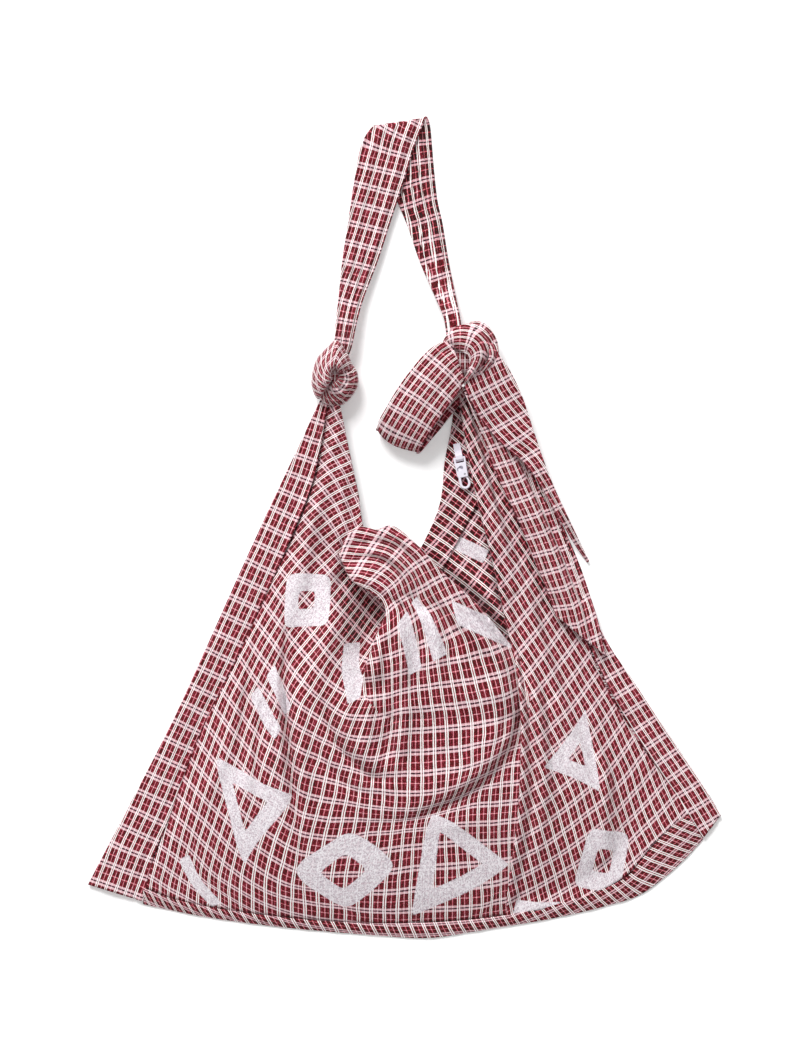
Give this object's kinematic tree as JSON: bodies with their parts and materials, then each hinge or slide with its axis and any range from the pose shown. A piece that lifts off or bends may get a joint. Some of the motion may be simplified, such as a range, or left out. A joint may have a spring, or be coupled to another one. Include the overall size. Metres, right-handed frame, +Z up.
{
  "type": "fabric handbag",
  "caption": "Slouchy tie-strap hobo bag of checked shirting cotton lying on its back, with a knotted strap, half-bow tie and a small plastic key clip inside the mouth.",
  "frame": {"origin": "middle of the bag's outline as it lies, on the surface that it lies on", "axes": "+Y from the hem towards the top of the strap, +Z up off the surface, from the back panel to the front panel"},
  "size_m": [0.636, 0.8249, 0.0501],
  "materials": {
    "plaid_cotton": "matt woven cotton, maroon with white and pink threads",
    "pale_ribbon": "matt woven ribbon",
    "pale_plastic": "satin moulded plastic",
    "pin_steel": "plain drawn wire"
  },
  "bodies": {
    "bag": {"back_panel": "plaid_cotton", "back_facing": "plaid_cotton", "front_panel": "plaid_cotton", "left_side_band": "plaid_cotton", "right_side_band": "plaid_cotton", "bottom_hem": "plaid_cotton", "left_knot": "plaid_cotton", "right_knot": "plaid_cotton", "tie_tail_wide": "plaid_cotton", "key_tab": "pale_ribbon"},
    "strap": {"shoulder_strap": "plaid_cotton"},
    "bow": {"bow_loop": "plaid_cotton"},
    "tail": {"tie_tail_pointed": "plaid_cotton"},
    "clip": {"key_hook": "pale_plastic", "gate_pin": "pin_steel"},
    "gate": {"key_gate": "pale_plastic"}
  },
  "joints": [
    {"name": "strap_swing", "type": "hinge", "parent": "bag", "child": "strap", "pos_m": [-0.07, 0.1545, 0.0215], "axis": [0.991, 0.1336, 0], "range_deg": [0, 90]},
    {"name": "bow_lift", "type": "hinge", "parent": "bag", "child": "bow", "pos_m": [0.0635, 0.1725, 0.0215], "axis": [-0.6, 0.8, 0], "range_deg": [0, 45]},
    {"name": "tail_lift", "type": "hinge", "parent": "bag", "child": "tail", "pos_m": [0.0635, 0.1725, 0.0215], "axis": [-0.8827, -0.4699, 0], "range_deg": [0, 45]},
    {"name": "key_swing", "type": "hinge", "parent": "bag", "child": "clip", "pos_m": [0.055, 0.0695, 0.008], "axis": [-0.9816, -0.1908, 0], "range_deg": [0, 70]},
    {"name": "gate_turn", "type": "hinge", "parent": "clip", "child": "gate", "pos_m": [0.06052, 0.05366, 0.008], "axis": [0, 0, -1], "range_deg": [0, 20], "stiffness_Nm_per_rad": 0.01, "springref_deg": -5.73}
  ]
}
